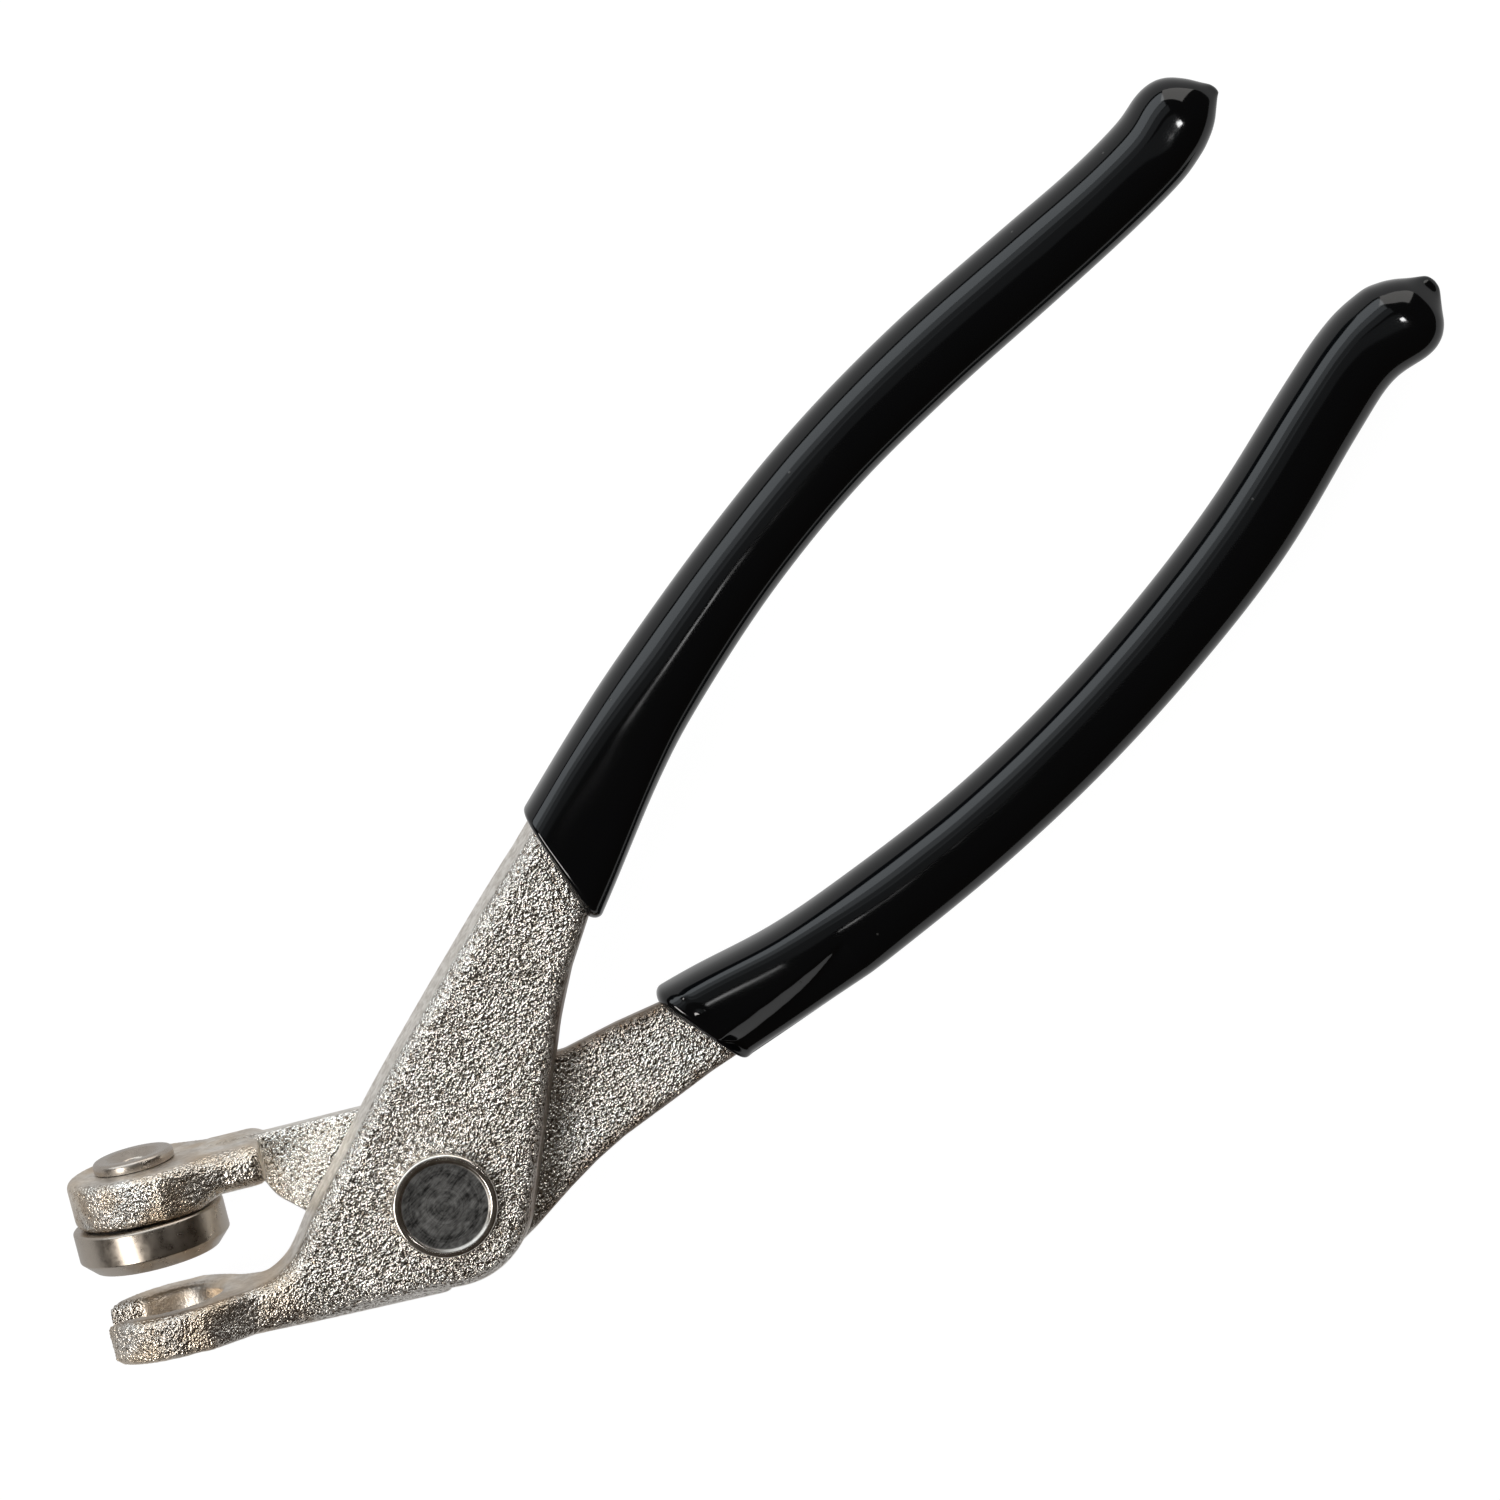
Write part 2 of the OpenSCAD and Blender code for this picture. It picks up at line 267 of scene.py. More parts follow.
def skin(field, grid, rounds=3):
    """Quads on the zero surface of the field, evened out, with their points' outward normals."""
    inside = field < 0
    number, points = crossed_cells(field, grid, inside)
    quads = crossed_edges(inside, number)
    links = np.concatenate([quads[:, [0, 1]], quads[:, [1, 2]], quads[:, [2, 3]], quads[:, [3, 0]]])
    degree = np.bincount(links[:, 0], minlength=len(points))
    for _ in range(rounds):
        mean = np.zeros_like(points)
        for axis in range(3):
            mean[:, axis] = np.bincount(links[:, 0], points[links[:, 1], axis], len(points))
        points = 0.5 * points + 0.5 * mean / np.maximum(degree, 1)[:, None]
        for _ in range(2):                               # back onto the surface
            d, slope = sample(field, grid, points)
            step = d / np.maximum((slope * slope).sum(1), 0.25)
            points = points - np.clip(step, -grid.step, grid.step)[:, None] * slope
    _, slope = sample(field, grid, points)
    return points, quads, slope / np.maximum(np.linalg.norm(slope, axis=1), 1e-9)[:, None]


def lattice_noise(p, size, seed):
    """Smooth noise from -1 to 1 with bumps of that size, mm."""
    n = 32
    table = np.random.default_rng(seed).uniform(-1, 1, (n, n, n))
    g = p / size
    i = np.floor(g).astype(int)
    f = g - i
    f = f * f * (3 - 2 * f)
    out = np.zeros(len(p))
    for c in np.ndindex(2, 2, 2):
        w = np.ones(len(p))
        for axis in range(3):
            w *= f[:, axis] if c[axis] else 1 - f[:, axis]
        out += w * table[(i[:, 0] + c[0]) % n, (i[:, 1] + c[1]) % n, (i[:, 2] + c[2]) % n]
    return out


def add_mesh(name, points, faces, finish, attributes=None):
    """A smooth mesh object from points in mm round the pivot."""
    mesh = bpy.data.meshes.new(name)
    mesh.from_pydata(to_row(points).tolist(), [], [list(map(int, f)) for f in faces])
    mesh.polygons.foreach_set("use_smooth", np.ones(len(mesh.polygons), bool))
    for key, values in (attributes or {}).items():
        layer = mesh.attributes.new(key, "FLOAT", "POINT")
        layer.data.foreach_set("value", np.asarray(values, np.float32))
    mesh.update()
    mesh.materials.append(finish)
    obj = bpy.data.objects.new(name, mesh)
    bpy.context.scene.collection.objects.link(obj)
    return obj


# ---------------------------------------------------------------- shader nodes
def material(name):
    """A material, its node tree and its empty Principled shader."""
    made = bpy.data.materials.new(name)
    made.use_nodes = True
    tree = made.node_tree
    tree.nodes.clear()
    out = tree.nodes.new("ShaderNodeOutputMaterial")
    shader = tree.nodes.new("ShaderNodeBsdfPrincipled")
    tree.links.new(shader.outputs["BSDF"], out.inputs["Surface"])
    return made, tree, shader


def plug(tree, value, socket):
    """Links an output to the socket, or sets the socket to a number or a colour."""
    if hasattr(value, "links"):
        tree.links.new(value, socket)
    elif isinstance(value, tuple) and socket.type == "RGBA":
        socket.default_value = (*value, 1)
    else:
        socket.default_value = value


def node(tree, kind, **values):
    """A node, with each value plugged into the input or set on the property of that name."""
    made = tree.nodes.new(kind)
    for key, value in values.items():
        if key in made.inputs:
            plug(tree, value, made.inputs[key])
        else:
            setattr(made, key, value)
    return made


def noise(tree, vector, scale, detail=2.0, rough=0.5):
    return node(tree, "ShaderNodeTexNoise", Vector=vector, Scale=scale, Detail=detail,
                Roughness=rough).outputs["Fac"]


def cells(tree, vector, scale):
    """Distance to the nearest of scattered points."""
    return node(tree, "ShaderNodeTexVoronoi", Vector=vector, Scale=scale,
                feature="F1").outputs["Distance"]


def maths(tree, operation, a, b):
    made = node(tree, "ShaderNodeMath", operation=operation)
    plug(tree, a, made.inputs[0])
    plug(tree, b, made.inputs[1])
    return made.outputs[0]


def blend_sum(tree, *terms):
    """The sum of outputs, each times its own weight."""
    total = None
    for value, weight in terms:
        part = maths(tree, "MULTIPLY", value, weight)
        total = part if total is None else maths(tree, "ADD", total, part)
    return total


def vector_maths(tree, operation, *values):
    made = node(tree, "ShaderNodeVectorMath", operation=operation)
    for value, socket in zip(values, made.inputs):
        plug(tree, value, socket)
    return made.outputs["Value" if operation in ("LENGTH", "DOT_PRODUCT") else "Vector"]


def remap(tree, value, low, high, out_low, out_high):
    made = node(tree, "ShaderNodeMapRange", clamp=True)
    keys = ("Value", "From Min", "From Max", "To Min", "To Max")
    for key, v in zip(keys, (value, low, high, out_low, out_high)):
        plug(tree, v, made.inputs[key])
    return made.outputs["Result"]


def mix_colour(tree, factor, a, b):
    made = node(tree, "ShaderNodeMix", data_type="RGBA")
    tree.links.new(factor, made.inputs["Factor"])
    sockets = [s for s in made.inputs if s.name in ("A", "B") and s.type == "RGBA"]
    for socket, colour in zip(sockets, (a, b)):
        plug(tree, colour, socket)
    return [s for s in made.outputs if s.type == "RGBA"][0]


def object_vector(tree):
    return tree.nodes.new("ShaderNodeTexCoord").outputs["Object"]


def attribute(tree, name):
    return node(tree, "ShaderNodeAttribute", attribute_name=name).outputs["Fac"]


def bump(tree, shader, height, strength, distance):
    made = node(tree, "ShaderNodeBump", Distance=distance, Strength=strength, Height=height)
    tree.links.new(made.outputs["Normal"], shader.inputs["Normal"])


def scaled(colour, factor):
    """A colour made lighter or darker, at most 1."""
    return tuple(min(factor * c, 1.0) for c in colour)


# ---------------------------------------------------------------- materials
def forging_material(name, gain):
    """Nickel over a pebbled forging skin; its trimmed walls are smooth and mottled. Its webs' lower
    right edges are darkened with painted shade, and its jaws are stained.
    """
    made, tree, shader = material(name)
    vector = object_vector(tree)
    pebble, warmth, edge_shade_and_stain = (attribute(tree, key) for key in ("pebble", "warmth", "edge_shade_and_stain"))
    coarse = noise(tree, vector, 2250, 1.0, 0.6)
    height = blend_sum(tree, (coarse, 0.8), (cells(tree, vector, 4000), -0.32))
    bump(tree, shader, height, remap(tree, pebble, 0, 1, 0.13, 1.0), 0.0004)
    patches = noise(tree, vector, 160, 3.0, 0.6)
    # Gain lightens both shades of the tone; above 1 it is painted light.
    tone = mix_colour(tree, remap(tree, patches, 0.35, 0.65, 0, 1),
                      scaled((0.74, 0.705, 0.655), gain), scaled((0.89, 0.855, 0.80), gain))
    # The pebbles' pits, the low points of the bump, get a dark colour: painted shade in the recesses.
    pit_shade = remap(tree, coarse, 0.32, 0.50, 1.0, 0.0)
    tone = mix_colour(tree, maths(tree, "MULTIPLY", pit_shade, pebble), tone, (0.30, 0.255, 0.21))
    mottle = remap(tree, noise(tree, vector, 1100, 3.0, 0.6), 0.38, 0.62, 0, 1)
    trimmed = mix_colour(tree, mottle, (0.74, 0.69, 0.625), (1.0, 0.96, 0.90))
    tone = mix_colour(tree, remap(tree, pebble, 0.0, 0.45, 0, 1), trimmed, tone)
    tone = mix_colour(tree, warmth, tone, (0.80, 0.62, 0.42))
    # Dark brown: painted shade along the webs' lower right edges, where light falls least, and random
    # stain on the jaws.
    tone = mix_colour(tree, edge_shade_and_stain, tone, (0.19, 0.13, 0.085))
    rough = maths(tree, "ADD", remap(tree, pebble, 0, 1, 0.38, 0.17),
                  maths(tree, "MULTIPLY", patches, 0.08))
    tree.links.new(tone, shader.inputs["Base Color"])
    tree.links.new(rough, shader.inputs["Roughness"])
    shader.inputs["Metallic"].default_value = 1.0
    return made


def turned_material(name, colour, rough, centre, axis, ring_scale, ring_strength, face=None):
    """Turned metal: fine rings round its axis, and a darker end where face is (colour, radius)."""
    made, tree, shader = material(name)
    vector = object_vector(tree)
    from_centre = vector_maths(tree, "SUBTRACT", vector, tuple(centre))
    radius = vector_maths(tree, "LENGTH", vector_maths(tree, "CROSS_PRODUCT", from_centre, axis))
    along = vector_maths(tree, "DOT_PRODUCT", from_centre, axis)
    section = node(tree, "ShaderNodeCombineXYZ", X=radius, Y=along).outputs[0]
    rings = noise(tree, section, ring_scale, 4.0, 0.75)
    cloudy = noise(tree, vector, 900, 4.0, 0.65)
    bump(tree, shader, blend_sum(tree, (rings, 0.8), (cloudy, 0.2)), ring_strength, 0.00006)
    tone = mix_colour(tree, remap(tree, cloudy, 0.3, 0.7, 0, 1), scaled(colour, 0.86), colour)
    roughness = remap(tree, cloudy, 0.3, 0.7, rough * 0.8, rough * 1.25)
    if face is not None:
        shade, edge_radius = face
        soft = 0.00012                                   # the dark end's soft edge, metres
        inner = remap(tree, radius, edge_radius - soft, edge_radius + soft, 1, 0)
        stretched = node(tree, "ShaderNodeMapping", Vector=vector, Rotation=(0, 0, 0.5),
                         Scale=(0.12, 1.0, 1.0)).outputs[0]
        scratches = noise(tree, stretched, 5200, 3.0, 0.7)
        worn = remap(tree, blend_sum(tree, (rings, 0.3), (cloudy, 0.35), (scratches, 0.35)),
                     0.40, 0.62, 0, 1)
        tone = mix_colour(tree, inner, tone,
                          mix_colour(tree, worn, scaled(shade, 0.28), scaled(shade, 2.4)))
        roughness = maths(tree, "ADD", roughness, maths(tree, "MULTIPLY", inner, 0.26))
    tree.links.new(tone, shader.inputs["Base Color"])
    tree.links.new(roughness, shader.inputs["Roughness"])
    shader.inputs["Metallic"].default_value = 1.0
    return made


def vinyl_material():
    """Glossy black dipped vinyl, slightly wavy, with a few specks of dust."""
    made, tree, shader = material("black_vinyl")
    vector = object_vector(tree)
    wave = noise(tree, vector, 110, 1.0, 0.5)
    dust = remap(tree, cells(tree, vector, 230), 0.02, 0.045, 1, 0)
    bump(tree, shader, blend_sum(tree, (wave, 1.0), (dust, 0.25)), 0.35, 0.0002)
    tone = mix_colour(tree, dust, (0.0022, 0.0026, 0.0032), (0.04, 0.04, 0.038))
    rough = maths(tree, "ADD", remap(tree, wave, 0.3, 0.7, 0.07, 0.11),
                  maths(tree, "MULTIPLY", dust, 0.3))
    tree.links.new(tone, shader.inputs["Base Color"])
    tree.links.new(rough, shader.inputs["Roughness"])
    shader.inputs["IOR"].default_value = 1.5
    return made


# ---------------------------------------------------------------- levers
def tang(rows, start):
    """The part of a handle's middle line that its lever's tang follows."""
    line = catmull(rows, 3)
    return line[(line[:, 0] > start) & (line[:, 0] < TANG_END)]


def fork_outline():
    line = tang(FORK_ROWS, 34)
    below = catmull([(14, -2.2), (19.8, 0.6), (24, 3.3), (29, 6.1)], 4)[4:]
    above = catmull([(33, 19.9), (26, 18.7), (14, 16.4), (4, 14.3), (-4, 12.3), (-10.2, 10.9),
                     (-14.5, 9.5), (-17.2, 8.9), (-19.2, 9), jaw_point(23, FORK_B)], 6)
    return np.concatenate([[jaw_point(24, FORK_UNDER)], arc(BOSS_R, 234, 303, 24), below,
                           edge(line, -1, TANG_INSET), edge(line, 1, TANG_INSET)[::-1], above])


def presser_outline():
    line = tang(PRESSER_ROWS, 31)
    left = catmull([(-12.4, 14.6), (-12.4, 13.4), (-11.9, 11), (-11, 6), (-BOSS_R, 0)], 6)
    below = [(4, -10.6), (9.8, -10.6), (14, -10.8), (18, -11.3), (25.8, -13)]
    top = PAD_TOP - 0.1
    return np.concatenate([[jaw_point(24, NECK_B), jaw_point(19.5, NECK_B)], left,
                           arc(BOSS_R, 190, 262, 24), below,
                           edge(line, -1, TANG_INSET), edge(line, 1, TANG_INSET)[::-1],
                           [(27, -1.9), (21, 0.5), jaw_point(6, top), jaw_point(24, top)]])


def lower_edge(x, y):
    """How far a point lies to the lower right of the middle of the webs, mm."""
    return 0.42 * x - y


def fork_lever(outline):
    """The lever with the forked lower jaw, as a grid and a field."""
    g = Grid((-41, -13, -10), (46, 25, 10.5), GRID_STEP)
    in_plane = polygon_field(outline, g.x, g.y)
    lower = ramp(lower_edge(g.x, g.y), 0, 4) * ramp(g.x, -6, 2)
    sunk = 1.15 * lower * np.clip(1 + in_plane / 2.6, 0, 1) ** 2      # its soft lower shoulder
    web = in_plane + DRAFT * (g.z - WEB_LOW)
    web = meet(web, g.z + sunk - WEB_TOP, 0.5 + 1.2 * (1 - lower))
    web = meet(web, WEB_LOW - g.z, 0.35)

    def plan(a, z):
        body = polygon_field([(2, WEB_LOW), (STEP_A - 1, WEB_LOW), (STEP_A, -3), (25, -3.6),
                              (29, -FORK_R + 0.7), (29, FORK_R - 0.7), (21.5, WEB_TOP),
                              (STEP_A, 5.4), (2, 2.5)], a, z)
        solid = join(body, np.hypot(a - FORK_REACH, z) - FORK_R, 2.0)
        seat = np.hypot(a - FORK_REACH, z) - SEAT_R
        slot = np.maximum(np.abs(z) - MOUTH / 2, FORK_REACH - a)
        return cut(solid, np.minimum(seat, slot))

    side = polygon_field([(STEP_A, FORK_B + 1), (2, -5), (2, FORK_UNDER - 1.2), (24, FORK_UNDER),
                          (60, FORK_UNDER), (60, FORK_B), (21, FORK_B)], g.a, g.b)
    jaw = meet(g.plan(plan), side, 0.9)
    field = cut(join(web, jaw, 1.6), np.hypot(g.x, g.y) - RIVET_R)
    return g, np.maximum(field, g.x - TANG_SEEN)


def presser_lever(outline):
    """The lever with the neck and the round pad, as a grid and a field."""
    g = Grid((-41, -21, -9.5), (46, 34.5, 9.5), GRID_STEP)
    web = polygon_field(outline, g.x, g.y) + DRAFT * (-WEB_LOW - g.z)
    web = meet(web, g.z + WEB_LOW, 0.8)
    web = meet(web, -WEB_TOP - g.z, 1.7)

    def plan(a, z):
        neck = polygon_field([(STEP_A, -WEB_TOP), (23, -WEB_TOP), (30, -PAD_R + 0.5),
                              (30, PAD_R - 0.5), (23, WEB_TOP), (STEP_A, WEB_TOP)], a, z)
        return join(neck, np.hypot(a - DISC_REACH, z) - PAD_R, 2.0)

    side = polygon_field([(STEP_A, NECK_B), (24, NECK_B), (26.5, PAD_B), (60, PAD_B),
                          (60, PAD_TOP), (STEP_A, PAD_TOP - 0.1)], g.a, g.b)
    jaw = meet(g.plan(plan), side, 2.0 - 1.0 * ramp(g.a, 24, 29))
    field = cut(join(web, jaw, 1.0), np.hypot(g.x, g.y) - (RIVET_R + 0.05))
    field = cut(field, np.sqrt((g.a - DISC_REACH) ** 2 + g.z ** 2) - SHANK_R)
    field = np.maximum(field, g.x - TANG_SEEN)
    return g, np.maximum(field, np.minimum(g.x - 36, g.z + 2.4))      # thinner inside the grip


def forged(name, make, outline, finish, body, replaced, seed, seat=False):
    """A lever's mesh with a pebbled skin, and the attributes that its material reads."""
    grid, field = make(outline)
    points, quads, normals = skin(field, grid)
    x, y, z = points.T
    along = x * COS_JAW + y * SIN_JAW
    jaw = ramp(along, 16, 20)
    steep = 0.2 - 0.15 * jaw                             # walls steeper than this were trimmed
    pebble = ramp(np.abs(normals[:, 2]), steep, steep + 0.22)
    if seat:
        pebble *= ramp(np.hypot(along - FORK_REACH, z), SEAT_R + 0.2, SEAT_R + 0.8)
    depth = np.zeros(len(points))
    for k, (amount, size) in enumerate(((0.02, 0.6), (0.04, 1.6), (0.03, 3.1))):
        depth += amount * (1 + lattice_noise(points, size, seed + k))
    points = points - normals * (pebble * depth)[:, None]
    x, y, _ = points.T
    from_edge = -polygon_field(outline, x, y) + 0.6 * lattice_noise(points, 1.1, seed + 3)
    lower = ramp(lower_edge(x, y), 1, 6) * ramp(x, 0, 6)
    # Painted shade: darker towards the webs' lower right edges, on the side away from the light; the
    # jaws' stain is added below.
    edge_shade_and_stain = lower * (1 - ramp(from_edge, 0.1, 2.3)) * (1 - jaw)
    stain = jaw * np.clip(0.17 + 0.26 * lattice_noise(points, 2.6, seed + 4), 0, 0.5)
    warmth = jaw * np.clip(0.24 + 0.5 * lattice_noise(points, 2.4, seed + 5), 0.05, 0.7)
    obj = add_mesh(name, points, quads, finish,
                   {"pebble": pebble * (1 - 0.25 * jaw), "edge_shade_and_stain": 0.85 * edge_shade_and_stain + stain,
                    "warmth": warmth})
    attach(obj, body)
    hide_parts(replaced)


# ---------------------------------------------------------------- turned parts
def bevelled(corners, radii, n=5):
    """A profile with each corner rounded by its radius."""
    out = []
    p = [np.array(c, float) for c in corners]
    for i, (c, r) in enumerate(zip(p, radii)):
        if r <= 0:
            out.append(tuple(c))
            continue
        a, b = p[i - 1] - c, p[(i + 1) % len(p)] - c
        la, lb = np.linalg.norm(a), np.linalg.norm(b)
        a, b = a / la, b / lb
        angle = math.acos(max(-1, min(1, float(a @ b))))
        back = min(r / math.tan(angle / 2), la * 0.48, lb * 0.48)
        radius = back * math.tan(angle / 2)
        middle = (a + b) / np.linalg.norm(a + b)
        centre = c + middle * radius / math.sin(angle / 2)
        start, end = c + a * back - centre, c + b * back - centre
        for k in range(n + 1):
            d = start * (1 - k / n) + end * (k / n)
            out.append(tuple(centre + d / np.linalg.norm(d) * radius))
    return out


def lathe(name, profile, centre, axis, finish, body, replaced):
    """Turns a closed profile of (radius, height) round an axis; mm round the pivot."""
    axis = np.array(axis, float)
    side = np.cross(axis, (0.0, 0.0, 1.0) if abs(axis[2]) < 0.9 else (1.0, 0.0, 0.0))
    side /= np.linalg.norm(side)
    other = np.cross(axis, side)
    t = np.linspace(0, 2 * math.pi, TURNED_SIDES, endpoint=False)
    around = np.cos(t)[:, None] * side + np.sin(t)[:, None] * other
    points, faces, rings = [], [], []
    for r, h in profile:
        on_axis = np.array(centre) + axis * h
        if r < 1e-6:
            rings.append([len(points)] * TURNED_SIDES)
            points.append(on_axis)
        else:
            rings.append(list(range(len(points), len(points) + TURNED_SIDES)))
            points += list(on_axis + r * around)
    pairs = list(zip(rings, rings[1:]))
    if profile[0][0] > 1e-6:
        pairs.append((rings[-1], rings[0]))
    for near, far in pairs:
        for k in range(TURNED_SIDES):
            j = (k + 1) % TURNED_SIDES
            face = [near[k], near[j], far[j], far[k]]
            face = [f for n, f in enumerate(face) if f != face[n - 1]]
            if len(face) > 2:
                faces.append(face)
    obj = add_mesh(name, np.array(points), faces, finish)
    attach(obj, body)
    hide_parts(replaced)


# ---------------------------------------------------------------- grips
FORK_MOUTH_X, FORK_SLANT = 36.6, math.radians(27)            # the mouths' places and slants
PRESSER_MOUTH_X, PRESSER_SLANT = 32.6, math.radians(-21)
SLANT_FADE = (2, 20)                            # the slant dies out between these, from the mouth
LIP, ROLL_IN = 1.0, 1.3                         # the mouth's rolled edge: along the grip and inwards
PARALLEL_END = 11.5                             # the last stretch keeps its sections parallel


def section(u):
    """Cross-section of a grip u mm from its mouth, from -1 to 1: square at the mouth, then rounder."""
    rounder = ramp(u, 5, 28)
    across, through, crown = 6.6 - 3.4 * rounder, 2.3, 0.09 + 0.01 * rounder
    t = np.linspace(0, 2 * math.pi, 3001)
    c, s = np.cos(t), np.sin(t)
    z = np.sign(s) * np.abs(s) ** (2 / through)
    x = np.sign(c) * np.abs(c) ** (2 / across)
    z = z * (1 - crown * x * x)
    length = np.concatenate([[0], np.cumsum(np.hypot(np.diff(x), np.diff(z)))])
    want = np.linspace(0, length[-1], GRIP_SIDES, endpoint=False)
    return np.interp(want, length, x), np.interp(want, length, z)


def ring_places(mouth, last):
    """Each ring's place along the grip and how far it is inset: the mouth's inside, lip, body, end."""
    inner = [(mouth + 3.0, -1.8), (mouth + 0.5, -1.6)]
    turns = [math.pi / 2 * k / 8 for k in range(9)]
    lip = [(mouth + LIP * (1 - math.cos(t)), -ROLL_IN * (1 - math.sin(t))) for t in turns]
    body = np.concatenate([np.arange(mouth + 1.25, mouth + 22, RING_STEP),
                           np.linspace(mouth + 22.5, last - 11.5, 50),
                           last - 11.1 * (1 - np.linspace(0, 1, 30)[1:]) ** 1.5])
    return inner + lip + [(u, 0.0) for u in body]


def grip(name, rows, end, z_middle, mouth_x, slant, finish, body, replaced, relief=None):
    """A dipped grip, lofted along its handle from a slanted mouth to a dripped tip."""
    line = catmull([(*r, GRIP_HALF_T) for r in rows] + end, 8)
    s = np.concatenate([[0], np.cumsum(np.linalg.norm(np.diff(line[:, :2], axis=0), axis=1))])
    last = s[-1]
    mouth = float(np.interp(mouth_x, line[:, 0], s))
    d = np.gradient(line[:, :2], axis=0)
    window = np.ones(9) / 9
    tangent = [np.convolve(np.pad(d[:, k], 4, "edge"), window, "valid") for k in (0, 1)]
    tangent = [np.interp(np.minimum(s, last - PARALLEL_END), s, t) for t in tangent]
    points = []
    for u, inset in ring_places(mouth, last):
        x, z = section(u - mouth)
        fade = 1 - ramp(u - mouth, *SLANT_FADE)
        at = np.minimum(u + fade * math.tan(slant) * x * np.interp(u, s, line[:, 2]), last)
        mid_x, mid_y, half_w, half_t = (np.interp(at, s, line[:, k]) for k in range(4))
        lateral, height = x * np.maximum(half_w + inset, 0.05), z * np.maximum(half_t + inset, 0.05)
        if relief is not None:
            height = height + np.where(z > 0, relief(x, z, u - mouth, half_w), 0)
        tx, ty = np.interp(at, s, tangent[0]), np.interp(at, s, tangent[1])
        n = np.hypot(tx, ty)
        points.append(np.stack([mid_x - ty / n * lateral, mid_y + tx / n * lateral,
                                z_middle + height], 1))
    faces = []
    for start in range(0, (len(points) - 1) * GRIP_SIDES, GRIP_SIDES):
        for k in range(GRIP_SIDES):
            j = (k + 1) % GRIP_SIDES
            faces.append([start + k, start + j, start + GRIP_SIDES + j, start + GRIP_SIDES + k])
    faces.append(list(range(GRIP_SIDES))[::-1])
    faces.append([(len(points) - 1) * GRIP_SIDES + k for k in range(GRIP_SIDES)])
    obj = add_mesh(name, np.concatenate(points), faces, finish)
    sub = obj.modifiers.new("smooth", "SUBSURF")
    sub.levels = sub.render_levels = 1
    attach(obj, body)
    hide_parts(replaced)


def web_under_vinyl(x, z, u, half_w):
    """The presser grip's raised front, which ends in a steep slanted step on the outer side, mm."""
    reach = 19.2
    crest = -0.27 + 0.0165 * u                               # the step's top edge, across the grip
    rise = 0.25 * ramp(u, 1, 3) * (1 - ramp(u, 12, reach))
    drop = (1.7 * ramp(u, 0.2, 1.6)) * np.clip(1 - (u / reach) ** 3, 0, 1) + rise
    outward = (crest - x) * half_w * 0.97
    wall = 1.04 * np.maximum(outward, 0)
    soft = 0.12                                              # rounding where the step meets the drop
    h = np.clip(0.5 + 0.5 * (drop - wall) / soft, 0, 1)
    step = drop * (1 - h) + wall * h - soft * h * (1 - h)
    step = np.where(outward > 0, np.maximum(step, 0), 0)
    out = (rise - step) * np.clip(z / 0.35, 0, 1)
    for along, across, size in ((2.3, 0.78, 0.36), (1.9, 0.33, 0.42)):      # two drops at the lip
        out = out + 0.5 * size * np.exp(-((u - along) ** 2 + ((x - across) * half_w) ** 2) / size ** 2)
    return out


# ---------------------------------------------------------------- the object
UP_JAW = (SIN_JAW, -COS_JAW, 0.0)                    # the disc's axis, away from the fork
DISC_CENTRE = (*jaw_point(DISC_REACH, DISC_B), 0.0)
UP = (0, 0, 1)

steel = forging_material("nickel_forging", 1.0)
# The presser's copy is 1.2 times lighter: painted light that evens out the shade the fork's web casts
# over it.
steel_presser_lightened = forging_material("nickel_forging_presser_lightened", 1.2)
vinyl = vinyl_material()
rivet_steel = turned_material("pivot_steel", (0.82, 0.77, 0.71), 0.2, to_row((0, 0, 0)), UP, 2600, 0.3,
                              face=((0.13, 0.13, 0.128), 0.0049))
disc_plating = turned_material("disc_plating", (0.52, 0.46, 0.395), 0.3, to_row(DISC_CENTRE), UP_JAW,
                               3000, 0.25)
rivet_plating = turned_material("rivet_plating", (0.54, 0.48, 0.42), 0.28, to_row(DISC_CENTRE), UP_JAW,
                                2400, 0.5)

forged("fork_lever_forging", fork_lever, fork_outline(), steel, "fork_side", "fork_lever", 11,
       seat=True)
forged("presser_lever_forging", presser_lever, presser_outline(), steel_presser_lightened, "presser_side",
       "presser_lever", 23)

rear = -WEB_TOP - 0.1                                # the rear web's outer face
front_top, rear_top = WEB_TOP + HEAD_T, rear - HEAD_T
pivot_profile = bevelled([(0, rear_top + 0.12), (4.9, rear_top + 0.05), (HEAD_R, rear_top),
                          (HEAD_R, rear), (RIVET_R, rear), (RIVET_R, WEB_TOP), (HEAD_R, WEB_TOP),
                          (HEAD_R, front_top), (5.2, front_top), (4.85, front_top - 0.2),
                          (0, front_top - 0.24)],
                         [0, 0.4, 0.75, 0.08, 0, 0, 0.08, 0.7, 0.35, 0.2, 0], 8)
lathe("pivot_rivet_turned", pivot_profile, (0, 0, 0), UP, rivet_steel, "fork_side", "pivot_rivet")

disc_profile = bevelled([(4.5, 0), (DISC_R - 1.5, 0), (DISC_R, 1.5), (DISC_R, DISC_T), (2.55, DISC_T),
                         (2.55, 1.5), (4.5, 1.5)], [0.15, 0.25, 0.3, 0.35, 0, 0, 0.1])
lathe("presser_disc_turned", disc_profile, DISC_CENTRE, UP_JAW, disc_plating, "disc", "presser_disc")

